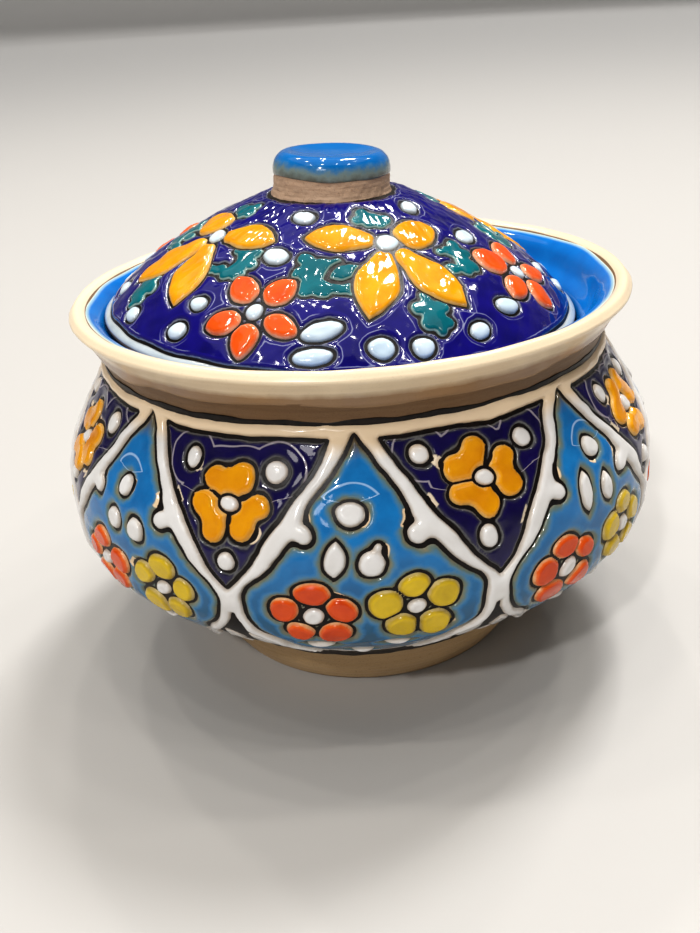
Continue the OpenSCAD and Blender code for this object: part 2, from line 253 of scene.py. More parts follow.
def turned(u, v, degrees):
    """Coordinates in a frame turned by that angle, anticlockwise as seen from outside."""
    c, s = math.cos(math.radians(degrees)), math.sin(math.radians(degrees))
    return u * c + v * s, v * c - u * s


def disc(u, v, radius):
    return np.hypot(u, v) - radius


def oval(u, v, a, b):
    near = np.maximum(np.hypot(u / a, v / b), 1e-3)
    steep = np.maximum(np.hypot(u / a**2, v / b**2), 1e-3 / max(a, b))
    return near * (near - 1) / steep


def egg(u, v, small, large, length):
    """Two circles on +v, the small one at the origin, and the straight sides that touch both."""
    u = np.abs(u)
    lean = (small - large) / length
    side = math.sqrt(max(1 - lean * lean, 1e-6))
    k = side * v - lean * u
    along = side * u + lean * v
    return np.where(
        k < 0,
        np.hypot(u, v) - small,
        np.where(k > side * length, np.hypot(u, v - length) - large, along - small),
    )


def leaf(u, v, length, width):
    """Leaf pointed at both ends, from the origin along +v."""
    radius = (length**2 + width**2) / (4 * width)
    return np.hypot(np.abs(u) + radius - width / 2, v - length / 2) - radius


def blended(a, b, soft):
    h = np.clip(0.5 + 0.5 * (b - a) / soft, 0, 1)
    return b + (a - b) * h - soft * h * (1 - h)


def apart(shapes):
    """Shapes that overlap, each cut back to where it is the nearest."""
    stack = np.array(shapes)
    cut = []
    for k in range(len(stack)):
        others = np.delete(stack, k, axis=0).min(axis=0)
        cut.append(np.maximum(stack[k], (stack[k] - others) / 2))
    return np.array(cut)


def inside_outline(x, y, outline):
    """Signed distance to a closed outline of straight stretches."""
    a, b = outline, np.roll(outline, -1, axis=0)
    nearest = np.full(x.shape, 1e9)
    inside = np.zeros(x.shape, bool)
    for (ax, ay), (bx, by) in zip(a, b):
        ex, ey = bx - ax, by - ay
        t = np.clip(((x - ax) * ex + (y - ay) * ey) / (ex * ex + ey * ey), 0, 1)
        nearest = np.minimum(nearest, np.hypot(x - ax - t * ex, y - ay - t * ey))
        crosses = (ay > y) != (by > y)
        slant = ex / ey if ey else 0.0
        inside ^= crosses & (x < ax + (y - ay) * slant)
    return np.where(inside, -nearest, nearest)


# ---- meshes ----


SHARP_ANGLE = 75


def add_piece(name, body, vertices, triangles, edge, material, marks=None):
    """A smooth-shaded piece from arrays, with the distance from the glaze's edge on each vertex.

    It rides on its body, stands for the CAD node of the same name, which it hides, and takes the given
    material."""
    turn = np.array(PLACES[body].to_3x3())
    shift = np.array(PLACES[body].to_translation())
    vertices = (vertices @ turn.T + shift) * MM
    mesh = bpy.data.meshes.new(name)
    mesh.vertices.add(len(vertices))
    mesh.vertices.foreach_set("co", vertices.astype(np.float32).ravel())
    mesh.loops.add(triangles.size)
    mesh.loops.foreach_set("vertex_index", triangles.astype(np.int32).ravel())
    mesh.polygons.add(len(triangles))
    mesh.polygons.foreach_set("loop_start", np.arange(0, triangles.size, 3, dtype=np.int32))
    mesh.update(calc_edges=True)
    mesh.validate()
    for key, row in {"edge_mm": edge, **(marks or {})}.items():
        attribute = mesh.attributes.new(key, "FLOAT", "POINT")
        attribute.data.foreach_set("value", row.astype(np.float32))
    mesh.polygons.foreach_set("use_smooth", np.ones(len(mesh.polygons), bool))
    mesh.set_sharp_from_angle(angle=math.radians(SHARP_ANGLE))
    mesh.materials.append(MATERIALS[material])
    piece = placed(name, mesh)
    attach(piece, body)
    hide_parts(name)


def clipped(triangles, value):
    """The part of a triangle mesh where value is negative.

    Returns the triangles, the grid vertices they keep, and the new vertices as pairs of grid vertices
    with the share of the second."""
    inside = value < 0
    count = inside[triangles].sum(axis=1)
    whole = triangles[count == 3]
    total = len(value)

    def rotated(rows, flag):
        first = flag[rows].argmax(axis=1)
        order = (first[:, None] + np.arange(3)) % 3
        return np.take_along_axis(rows, order, axis=1)

    one = rotated(triangles[count == 1], inside)
    two = rotated(triangles[count == 2], ~inside)

    def key(p, q):
        return np.minimum(p, q) * total + np.maximum(p, q)

    cuts = [key(one[:, 0], one[:, 1]), key(one[:, 0], one[:, 2])]
    cuts += [key(two[:, 0], two[:, 1]), key(two[:, 0], two[:, 2])]
    keys, found = np.unique(np.concatenate(cuts), return_inverse=True)
    parts = np.split(found + total, np.cumsum([len(c) for c in cuts])[:-1])
    tip = np.stack([one[:, 0], parts[0], parts[1]], -1)
    left = np.stack([parts[2], two[:, 1], two[:, 2]], -1)
    right = np.stack([parts[2], two[:, 2], parts[3]], -1)
    p, q = keys // total, keys % total
    share = np.clip(value[p] / (value[p] - value[q]), 0.03, 0.97)
    return np.vstack([whole, tip, left, right]), p, q, share


def rim_edges(triangles):
    """The directed edges that only one triangle uses."""
    edges = np.vstack([triangles[:, [0, 1]], triangles[:, [1, 2]], triangles[:, [2, 0]]])
    size = edges.max() + 1
    key = np.minimum(edges[:, 0], edges[:, 1]) * size + np.maximum(edges[:, 0], edges[:, 1])
    _, first, count = np.unique(key, return_index=True, return_counts=True)
    return edges[first[count == 1]]


def closed_skin(top, bottom, triangles):
    """A solid between two sheets that share their triangles."""
    n = len(top)
    rim = rim_edges(triangles)
    wall_a = np.stack([rim[:, 1], rim[:, 0], rim[:, 0] + n], -1)
    wall_b = np.stack([rim[:, 1], rim[:, 0] + n, rim[:, 1] + n], -1)
    faces = np.vstack([triangles, triangles[:, ::-1] + n, wall_a, wall_b])
    return np.vstack([top, bottom]), faces


GLAZE_BOTTOM, COAT_BOTTOM = 0.05, -0.05
THINNEST = 0.1
GAP_REACH, GAP_DEPTH = 0.8, 0.3
POOL_RISE, POOL_WIDTH = 0.16, 0.35


def distance_inside(points, rough, rim):
    """Distance from the rim points, trusting the rough distance close to the rim."""
    tree = KDTree(len(rim))
    for k, point in enumerate(rim.tolist()):
        tree.insert(point, k)
    tree.balance()
    exact = np.array([tree.find(point)[2] for point in points.tolist()])
    share = np.clip((exact - 0.25) / 0.5, 0, 1)
    return np.where(rough > 0, rough + (np.maximum(exact, rough) - rough) * share, 0)


def glaze(name, body, field, value, height, material, marks=None, lobed=False):
    """The part of a field where value is negative, raised by height(distance from the edge).

    marks are further distances, kept on the vertices: bare_mm from bare patches, where the glaze sinks,
    and pool_mm from lines where it stands higher. Lobed shapes have their depth measured anew."""
    flat = value.ravel()
    triangles, p, q, share = clipped(field.triangles, flat)
    used, triangles = np.unique(triangles, return_inverse=True)
    triangles = triangles.reshape(-1, 3)

    def carried(grid):
        grid = grid.reshape(len(flat), -1)
        new = grid[p] * (1 - share[:, None]) + grid[q] * share[:, None]
        return np.vstack([grid, new])[used]

    base, normal = carried(field.place), carried(field.normal)
    depth = np.maximum(carried(-value)[:, 0], 0)
    if lobed:
        depth = distance_inside(base, depth, base[depth <= 0])
    marks = {key: carried(grid)[:, 0] for key, grid in (marks or {}).items()}
    around = np.concatenate([field.theta.ravel(), field.theta.ravel()[p]])[used]
    swell = 1 + ripple(around, carried(field.s)[:, 0], len(name), 6, 0.07)
    lift = height(depth) * np.where(depth > 0, swell, 1)
    if "bare_mm" in marks:
        marks["bare_mm"] = np.maximum(marks["bare_mm"], depth - GAP_REACH)
        lift -= GAP_DEPTH * np.clip(-marks["bare_mm"] / GAP_DEPTH, 0, 1)
    if "pool_mm" in marks:
        lift += POOL_RISE * np.exp(-((marks["pool_mm"] / POOL_WIDTH) ** 2))
    top = base + normal * np.maximum(lift, THINNEST)[:, None]
    bottom = base + normal * GLAZE_BOTTOM
    vertices, faces = closed_skin(top, bottom, triangles)
    edge = np.concatenate([depth, np.zeros(len(bottom))])
    marks = {key: np.concatenate([row, row]) for key, row in marks.items()}
    add_piece(name, body, vertices, faces, edge, material, marks)


def rounded(depth, rim, rise, reach):
    """Height of a coat that rises from its rim over a short reach."""
    return rim + rise * np.sqrt(np.clip(depth / reach, 0, 1))


def pillow(rim, rise, shoulder, crown=0.0, reach=3.0):
    """Height of a glaze: rim at its edge, a round shoulder, and a slow rise beyond it."""

    def height(depth):
        x = np.clip(depth / shoulder, 0, 1)
        swell = crown * (1 - np.exp(-np.maximum(depth, 0) / reach))
        return rim + rise * np.sqrt(1 - (1 - x) ** 2) + swell

    return height


def grid_triangles(rows, around, closed_rows=False):
    """Triangles of a grid that closes around the axis, and from last row to first if asked."""
    last = rows if closed_rows else rows - 1
    i, j = np.meshgrid(np.arange(last), np.arange(around), indexing="ij")
    k, n = (j + 1) % around, (i + 1) % rows
    a, b = i * around + j, i * around + k
    c, d = n * around + k, n * around + j
    lower = np.stack([a, b, c], -1).reshape(-1, 3)
    upper = np.stack([a, c, d], -1).reshape(-1, 3)
    return np.vstack([lower, upper])


def around_grid(around, rows):
    theta = np.arange(around) * 2 * math.pi / around - math.pi
    return np.meshgrid(theta, rows)


def turned_solid(name, body, outline, material, around=256, shape=None, centre=0.0):
    """A solid of revolution with a closed outline, given anticlockwise from its lowest outer point."""
    surface = Surface(outline)
    theta, s = around_grid(around, surface.length)
    vertices, normal = surface.points(theta, s)
    if shape is not None:
        vertices = vertices + normal * shape(theta, s, vertices)[..., None]
    vertices[..., 0] += centre
    faces = grid_triangles(len(outline), around, closed_rows=True)
    vertices = vertices.reshape(-1, 3)
    add_piece(name, body, vertices, faces, np.full(len(vertices), FAR), material)


def skin(name, body, surface, low, high, lift, material, around=320, rows=90, centre=0.0, pole=""):
    """A closed coat on a surface; lift(theta, s, depth) is its height.

    Its low and high edges are distances s, or functions of theta that give them. pole names the end, low
    or high, that closes on the axis and so has no edge."""
    theta, share = around_grid(around, 0.5 - 0.5 * np.cos(math.pi * np.linspace(0, 1, rows)))
    start, end = (edge(theta[:1]) if callable(edge) else edge for edge in (low, high))
    s = start + (end - start) * share
    under, normal = surface.points(theta, s)
    under[..., 0] += centre
    depth = {"low": end - s, "high": s - start}.get(pole, np.minimum(s - start, end - s))
    top = under + normal * lift(theta, s, depth)[..., None]
    bottom = under + normal * COAT_BOTTOM
    triangles = grid_triangles(rows, around)
    vertices, faces = closed_skin(top.reshape(-1, 3), bottom.reshape(-1, 3), triangles)
    edge = np.concatenate([depth.ravel(), np.zeros(depth.size)])
    add_piece(name, body, vertices, faces, edge, material)


# ---- materials ----


class Nodes:
    """A material's node tree, with short ways to add to it."""

    def __init__(self, name):
        self.material = bpy.data.materials.new(name)
        self.material.use_nodes = True
        self.tree = self.material.node_tree
        self.shader = self.tree.nodes["Principled BSDF"]

    def add(self, kind, **settings):
        node = self.tree.nodes.new(kind)
        for key, value in settings.items():
            setattr(node, key, value)
        return node

    def link(self, out, into):
        self.tree.links.new(out, into)

    def attribute(self, name):
        return self.add("ShaderNodeAttribute", attribute_name=name).outputs["Fac"]

    def above(self, height_mm, soft_mm, wander_mm):
        """0 below a height on the object and 1 above it, with a wandering edge."""
        where = self.add("ShaderNodeTexCoord")
        split = self.add("ShaderNodeSeparateXYZ")
        self.link(where.outputs["Object"], split.inputs["Vector"])
        level = self.maths("MULTIPLY", split.outputs["Z"], 1 / (soft_mm * MM))
        level = self.maths("SUBTRACT", level, height_mm / soft_mm + wander_mm / soft_mm / 2)
        wander = self.maths("MULTIPLY", self.noise(0.25), wander_mm / soft_mm)
        return self.ramp(self.maths("ADD", level, wander), [(0.0, (0, 0, 0)), (1.0, (1, 1, 1))])

    def noise(self, per_mm, detail=3.0, rough=0.55, stretch=(1, 1, 1)):
        where = self.add("ShaderNodeTexCoord")
        mapping = self.add("ShaderNodeMapping")
        mapping.inputs["Scale"].default_value = [1000 * per_mm * k for k in stretch]
        self.link(where.outputs["Object"], mapping.inputs["Vector"])
        noise = self.add("ShaderNodeTexNoise")
        for key, value in (("Scale", 1.0), ("Detail", detail), ("Roughness", rough)):
            noise.inputs[key].default_value = value
        self.link(mapping.outputs["Vector"], noise.inputs["Vector"])
        return noise.outputs["Fac"]

    def ramp(self, source, stops):
        node = self.add("ShaderNodeValToRGB")
        ramp = node.color_ramp
        while len(ramp.elements) < len(stops):
            ramp.elements.new(0.5)
        for element, (position, colour) in zip(ramp.elements, stops):
            element.position = position
            element.color = (*colour, 1)
        self.link(source, node.inputs["Fac"])
        return node.outputs["Color"]

    def maths(self, operation, a, b):
        node = self.add("ShaderNodeMath", operation=operation)
        for socket, value in zip(node.inputs, (a, b)):
            if isinstance(value, (int, float)):
                socket.default_value = value
            else:
                self.link(value, socket)
        return node.outputs["Value"]

    def mixed(self, share, a, b, blend="MIX"):
        node = self.add("ShaderNodeMix", data_type="RGBA", blend_type=blend)
        for socket, value in zip((node.inputs["Factor"], node.inputs[6], node.inputs[7]), (share, a, b)):
            if isinstance(value, (int, float)):
                socket.default_value = value
            elif isinstance(value, tuple):
                socket.default_value = (*value, 1)
            else:
                self.link(value, socket)
        return node.outputs[2]

    def bump(self, height, strength, distance_mm):
        node = self.add("ShaderNodeBump")
        node.inputs["Strength"].default_value = strength
        node.inputs["Distance"].default_value = distance_mm * MM
        self.link(height, node.inputs["Height"])
        self.link(node.outputs["Normal"], self.shader.inputs["Normal"])

    def set(self, **values):
        for name, value in values.items():
            self.shader.inputs[name.replace("_", " ")].default_value = value


CLAY_TINT = (0.74, 0.58, 0.40)
TINT_LINE = 64.6
# height below which the glaze takes on its painted shade
PAINTED_SHADE_LINE = 32
CLOUD = 0.22
BLACK, WHITE = (0, 0, 0), (1, 1, 1)


def glaze_material(
    name, edges, body, deep, roughness=0.08, tint=None, gaps=None, pool_highlight=None, low=None, faded=None,
    lumps=0.25, wander=0.9, fade=0.55
):
    """A gloss glaze, in clouds of its body and deep colours, lumpy and with a wandering rim.

    edges are (distance in mm, colour) stops from its rim inwards, which give way to the inner colour
    beyond fade times their reach; pale stops in the cobalt and navy rims paint highlights on the shoulder.
    tint is its colour above the line where the kiln browned it, gaps the colour of bare patches, pool the
    colour of a painted highlight on the raised line where two runs of glaze met, and low a painted shade,
    darker towards the bottom of the belly. faded are the rim's stops where the painted highlight line along
    it runs out."""
    nodes = Nodes(name)
    inner = nodes.ramp(nodes.noise(0.16, 4.0), [(0.5 - CLOUD, deep), (0.5 + CLOUD, body)])
    # painted shade: below the shade line the glaze turns to its low colour, darker towards the bottom of the
    # belly
    if low:
        inner = nodes.mixed(nodes.above(PAINTED_SHADE_LINE, 20, 6), low, inner)
    reach = edges[-1][0]
    wobble = nodes.maths("MULTIPLY", nodes.maths("SUBTRACT", nodes.noise(0.45), 0.5), wander)
    depth = nodes.maths("ADD", nodes.maths("DIVIDE", nodes.attribute("edge_mm"), reach), wobble)
    rim = nodes.ramp(depth, [(distance / reach, colour) for distance, colour in edges])
    if faded:
        plain = nodes.ramp(depth, [(distance / reach, colour) for distance, colour in faded])
        patch = nodes.ramp(nodes.noise(0.09, 2.0), [(0.44, BLACK), (0.56, WHITE)])
        rim = nodes.mixed(patch, rim, plain)
    share = nodes.ramp(depth, [(fade, BLACK), (1.0, WHITE)])
    colour = nodes.mixed(share, rim, inner)
    # painted highlight: a pale line along the raised line that pool_mm measures
    if pool_highlight:
        near = nodes.maths("ABSOLUTE", nodes.attribute("pool_mm"), 0)
        line = nodes.ramp(near, [(0.10, WHITE), (0.24, BLACK)])
        colour = nodes.mixed(nodes.maths("MULTIPLY", line, 0.75), colour, pool_highlight)
    if gaps:
        past_edge = nodes.maths("ADD", nodes.attribute("bare_mm"), 0.5)
        bare = nodes.ramp(past_edge, [(0.4, WHITE), (0.6, BLACK)])
        colour = nodes.mixed(bare, colour, gaps)
    if tint:
        colour = nodes.mixed(nodes.above(TINT_LINE, 3.0, 2.4), colour, tint)
    nodes.link(colour, nodes.shader.inputs["Base Color"])
    nodes.set(Roughness=roughness, IOR=1.46)
    nodes.bump(nodes.noise(0.35, 2.0), lumps, 0.1)
    return nodes.material


def clay_material(name, low, high, change, roughness, grain=0.3, lines=0.12, specks=0.5):
    """Fired clay, in its low colour up to the height of change and its high colour above it.

    lines sets how close its turning lines are, specks how dark its specks are, and grain its bumps."""
    nodes = Nodes(name)
    rings = nodes.noise(lines, 5.0, 0.6, stretch=(0.12, 0.12, 9))
    soft = nodes.ramp(rings, [(0.3, (0.78, 0.76, 0.74)), (0.7, (1.0, 1.0, 1.0))])
    dots = nodes.ramp(nodes.noise(2.6, 2.0), [(0.28, (0.55, 0.5, 0.45)), (0.42, (1, 1, 1))])
    base = nodes.mixed(nodes.above(change, 1.5, 1.0), low, high)
    shaded = nodes.mixed(0.8, base, soft, blend="MULTIPLY")
    shaded = nodes.mixed(specks, shaded, dots, blend="MULTIPLY")
    nodes.link(shaded, nodes.shader.inputs["Base Color"])
    nodes.set(Roughness=roughness, IOR=1.45)
    nodes.bump(nodes.maths("ADD", nodes.noise(3.2, 3.0), rings), grain, 0.2)
    return nodes.material


def outline_material(name):
    nodes = Nodes(name)
    stops = [(0.35, (0.003, 0.002, 0.002)), (0.7, (0.012, 0.007, 0.005))]
    colour = nodes.ramp(nodes.noise(0.8, 4.0), stops)
    nodes.link(colour, nodes.shader.inputs["Base Color"])
    nodes.set(Roughness=0.38, IOR=1.32)
    nodes.bump(nodes.noise(1.6, 3.0), 0.3, 0.12)
    return nodes.material


# cobalt rim: black edge, a grey painted highlight at 0.14 mm, cobalt, a second pale painted highlight ring
# at about 1.03 mm, then cobalt
COBALT_EDGE = [(0.0, (0.03, 0.03, 0.05)), (0.14, (0.20, 0.21, 0.26)), (0.34, (0.012, 0.01, 0.10))]
COBALT_EDGE += [(0.9, (0.008, 0.004, 0.13)), (1.03, (0.25, 0.26, 0.38)), (1.18, (0.008, 0.004, 0.14))]
COBALT_EDGE += [(1.3, (0.007, 0.003, 0.15))]
# navy rim: a grey painted highlight on the glaze's shoulder at about 0.2 mm, then navy
NAVY_EDGE = [(0.0, (0.04, 0.04, 0.04)), (0.2, (0.12, 0.12, 0.12)), (0.45, (0.02, 0.018, 0.045))]
NAVY_EDGE += [(1.0, (0.007, 0.003, 0.055))]
BLUE_EDGE = [(0.0, (0.20, 0.19, 0.13)), (0.35, (0.13, 0.18, 0.16)), (0.9, (0.06, 0.19, 0.33))]
BLUE_EDGE += [(1.7, (0.01, 0.18, 0.47))]
GLAZES = {
    "bright_blue_glaze": dict(
        edges=[(0.0, (0.60, 0.62, 0.54)), (0.3, (0.30, 0.46, 0.54)), (1.1, (0.01, 0.18, 0.55))],
        body=(0.002, 0.16, 0.51),
        deep=(0.0, 0.12, 0.43),
        lumps=0.12,
        wander=0.12,
    ),
    "knob_blue_glaze": dict(
        edges=[(0.0, (0.10, 0.11, 0.09)), (1.2, (0.17, 0.22, 0.21)), (3.2, (0.02, 0.19, 0.40))],
        body=(0.0, 0.135, 0.41),
        deep=(0.0, 0.11, 0.35),
        lumps=0.12,
    ),
    "panel_blue_glaze": dict(
        edges=BLUE_EDGE,
        body=(0.012, 0.20, 0.50),
        deep=(0.006, 0.12, 0.33),
        tint=(0.13, 0.10, 0.06),
        gaps=(0.80, 0.60, 0.38),
        # painted highlight on the raised line near the top of the panel
        pool_highlight=(0.36, 0.52, 0.74),
        # painted shade, darker and greyer towards the bottom of the belly
        low=(0.02, 0.10, 0.19),
    ),
    "navy_glaze": dict(
        edges=NAVY_EDGE,
        body=(0.008, 0.003, 0.075),
        deep=(0.004, 0.002, 0.035),
        gaps=(0.72, 0.60, 0.45),
        # painted highlight on the raised line near the top of the panel
        pool_highlight=(0.38, 0.34, 0.38),
    ),
    "cobalt_glaze": dict(
        edges=COBALT_EDGE,
        body=(0.007, 0.003, 0.16),
        deep=(0.004, 0.002, 0.09),
        lumps=0.35,
        wander=0.5,
        fade=0.93,
        # where the second painted highlight ring runs out
        faded=COBALT_EDGE[:4] + COBALT_EDGE[-1:],
    ),
    "white_slip_glaze": dict(
        edges=[(0.0, (0.52, 0.45, 0.38)), (0.6, (0.70, 0.68, 0.66))],
        body=(0.73, 0.72, 0.71),
        deep=(0.64, 0.62, 0.60),
        roughness=0.16,
        tint=CLAY_TINT,
        lumps=0.1,
    ),
    "lid_white_glaze": dict(
        edges=[(0.0, (0.26, 0.29, 0.30)), (0.5, (0.56, 0.63, 0.68))],
        body=(0.64, 0.71, 0.75),
        deep=(0.46, 0.57, 0.64),
        roughness=0.14,
        lumps=0.2,
    ),
    "lid_edge_glaze": dict(
        edges=[(0.0, (0.28, 0.29, 0.28)), (0.5, (0.42, 0.46, 0.48))],
        body=(0.46, 0.50, 0.51),
        deep=(0.32, 0.37, 0.39),
        roughness=0.2,
        lumps=0.2,
    ),
    "orange_glaze": dict(
        edges=[(0.0, (0.78, 0.46, 0.24)), (0.3, (0.70, 0.13, 0.02)), (0.7, (0.66, 0.075, 0.002))],
        body=(0.68, 0.08, 0.001),
        deep=(0.50, 0.042, 0.001),
    ),
    "lid_orange_glaze": dict(
        edges=[(0.0, (0.75, 0.40, 0.25)), (0.4, (0.78, 0.16, 0.05)), (1.0, (0.78, 0.09, 0.015))],
        body=(0.74, 0.105, 0.006),
        deep=(0.60, 0.055, 0.003),
        lumps=0.35,
    ),
    "yellow_glaze": dict(
        edges=[(0.0, (0.58, 0.46, 0.22)), (0.35, (0.46, 0.32, 0.03)), (0.9, (0.62, 0.42, 0.012))],
        body=(0.70, 0.49, 0.012),
        deep=(0.47, 0.32, 0.008),
    ),
    "ochre_glaze": dict(
        edges=[(0.0, (0.78, 0.48, 0.16)), (0.4, (0.72, 0.31, 0.012)), (0.9, (0.76, 0.34, 0.002))],
        body=(0.76, 0.34, 0.002),
        deep=(0.58, 0.20, 0.001),
    ),
    "teal_glaze": dict(
        edges=[(0.0, (0.10, 0.16, 0.15)), (0.18, (0.30, 0.42, 0.38)), (0.4, (0.0, 0.13, 0.14))],
        body=(0.0, 0.145, 0.175),
        deep=(0.0, 0.08, 0.10),
        wander=0.4,
    ),
}


MATERIALS = {
    # bare clay: tan below 60 mm; the dark brown above it, on the neck and over the whole lid, is painted
    # shade
    "bare_clay": clay_material("bare_clay", (0.53, 0.36, 0.19), (0.165, 0.093, 0.042), 60, 0.5),
    # clear glaze on clay: cream on the lip above 76.4 mm; the dark brown below it, on the neck under the
    # lip, is painted shade
    "clear_glaze_on_clay": clay_material(
        "clear_glaze_on_clay", (0.34, 0.22, 0.125), (0.80, 0.66, 0.47), 76.4, 0.26, 0.06, 0.05, 0.16
    ),
    "knob_clay": clay_material(
        "knob_clay", (0.53, 0.37, 0.255), (0.51, 0.35, 0.24), 100, 0.65, 0.5, 0.3, 0.6
    ),
    "black_outline": outline_material("black_outline"),
}
MATERIALS.update({name: glaze_material(name, **settings) for name, settings in GLAZES.items()})


# ---- the bowl ----

BAND_LINE, FINE_LINE = 0.7, 0.5
# one side of each panel's outline, as (aside, height)
BLUE_HALF = [(0, 68.6), (2.6, 65), (5.2, 61.6), (8.4, 57.2), (10.3, 54), (17.3, 46.3), (21.3, 42.4)]
BLUE_HALF += [(22.2, 38.5), (20.5, 33.5), (16, 30), (10, 25), (0, 22.5)]
NAVY_HALF = [(16.4, 67.6), (12.9, 60), (6.8, 51), (3.4, 46), (0, 42.3)]
PATTERN_TURN = -0.8
SPUR = (10.2, 53.2)
SPUR_LEAN = -70
BAND, BAND_SPLIT = 2.9, 36.0
COLLAR_TOP = 70.7
DECOR_LOW, DECOR_HIGH = 11.4, 71.4
HEART = 1.75
# how far from the motifs the raised line with its painted highlight runs, and the height it stays above
POOL, POOL_LOW = 3.0, 59.0


def both_sides(half):
    curve = smooth(half, 5)
    mirror = curve[::-1] * [-1, 1]
    if curve[0, 0] == 0:
        mirror = mirror[:-1]
    return np.vstack([curve, mirror[1:]])


def across_panel(field, offset):
    """Distance to the side of the nearest panel's middle, and height, where the field is drawn."""
    turn = math.radians(PANEL_ANGLE)
    spread = (field.drawn_theta - math.radians(offset) + turn / 2) % turn - turn / 2
    r, z, _, _ = field.surface.sample(field.drawn_s)
    return r * np.sin(spread), z


def five_petals(u, v, turn, reach, wide, tall, pointed=False):
    """Five petals around a heart, each a little different, round or with a pointed tip."""
    petals = []
    for k in range(5):
        lean, size = rng.normal(size=2) * (4, 0.07)
        a, b = turned(u, v, turn + lean + k * 72)
        petal = oval(a, b - reach * (1 + 0.5 * size), wide * (1 + size), tall * (1 + size))
        if pointed:
            petal = blended(petal, leaf(a, b - reach + tall, 2.3 * tall, 1.8 * wide), 0.7)
        petals.append(petal)
    heart = oval(*turned(u, v, turn + 40), HEART + 0.35, HEART + 0.1)
    return np.maximum(apart(petals).min(axis=0), -heart), heart


def lobed_petals(u, v, turn):
    """Three two-lobed petals around a heart."""
    petals = []
    for k in range(3):
        lean, size = rng.normal(size=2) * (5, 0.12)
        a, b = turned(u, v, turn + lean + k * 120)
        lobes = blended(disc(a - 2.5, b - 4.5, 2.65 + size), disc(a + 2.5, b - 4.8, 2.7 - size), 1.4)
        petals.append(blended(lobes, disc(a, b - 3.5, 2.9), 0.9))
    heart = oval(u, v, HEART + 0.35, HEART + 0.2)
    return np.maximum(apart(petals).min(axis=0), -heart), heart


DOT_REACH, LEAF_REACH, FLOWER_REACH, LARGE_REACH = 9, 12, 13, 25


def draw(target, index, value):
    """Add a shape to a field's distance function, at the grid points of index."""
    target[index] = np.minimum(target[index], value)


DOT_SHAPES = {
    "seed": lambda u, v, a, b: blended(
        oval(u, v, a, 0.9 * b), leaf(u, v + 1.15 * b, 2.3 * b, 1.7 * a), 0.8
    ),
    "nub": lambda u, v, a, b: blended(oval(u, v, a, b), disc(u - 1.3, v - b, 1.0), 0.9),
    "round": oval,
    "dash": lambda u, v, a, b: leaf(*turned(u - a, v, 90), 2 * a, 2 * b),
    "gap": oval,
}
# the dots of four blue panels, as (shape, degrees aside, height, half width, half height)
SPOTS = [
    [("round", -1.2, 56.0, 2.75, 2.6), ("seed", -4.5, 49.2, 2.3, 3.3), ("nub", 1.6, 47.9, 2.6, 2.5)],
    [("round", 2.0, 57.7, 2.5, 2.7), ("seed", -2.4, 50.5, 2.0, 3.9), ("seed", 3.9, 49.6, 1.8, 3.0)],
    [("round", -1.6, 56.8, 2.6, 2.6), ("seed", 3.4, 49.4, 2.1, 3.4), ("nub", -3.4, 48.6, 2.5, 2.5)],
    [("round", -1.2, 55.8, 2.1, 2.9), ("round", -3.3, 48.8, 2.5, 2.4), ("round", 3.7, 48.6, 2.5, 2.4)],
]
DASHES = [("dash", -7.4, 29.2, 3.1, 1.1), ("dash", -1.1, 25.4, 3.1, 1.1), ("dash", 5.2, 29.5, 3.1, 1.1)]
NAVY_SPOTS = [
    [("round", -10.7, 64.4, 2.2, 2.2), ("round", 10.0, 63.8, 2.1, 2.4), ("round", -1.1, 50.3, 2.1, 2.3)],
    [("round", -8.6, 63.4, 1.95, 2.4), ("round", 8.2, 62.4, 2.2, 2.3), ("round", 0.0, 47.7, 2.0, 2.1)],
]
# lean and height of four flowers in navy panels
LOBED_FLOWERS = ((28, 59.6), (52, 58.3), (28, 58.3), (0, 57.4))
FOOT_LEAVES = [
    # degrees aside, height, lean, length, width
    (3.0, 27.5, 20, 10, 4.0),
    (8.0, 20.5, 56, 12, 4.0),
    (17, 16.6, 80, 10, 3.2),
    (3.2, 16.0, 40, 8, 3.2),
]
# bare patches, as (degrees aside, height, lean)
BLUE_GAPS = [(-8.6, 56.2, 15), (7.4, 55.4, -20), (1.0, 55.8, -10), (3.2, 49.8, -35)]
BLUE_GAPS += [(-13.5, 45.4, -50), (2.0, 41.0, 20), (-3.6, 41.6, 50), (13.2, 34.4, 60), (-4.2, 34.0, 0)]
GAP_SIZE = (1.1, 1.7)
NAVY_GAPS = [(-7.6, 62.6, 30), (3.0, 61.4, 0), (5.8, 58.0, 10), (-9.8, 57.6, 18), (5.2, 52.4, -35)]


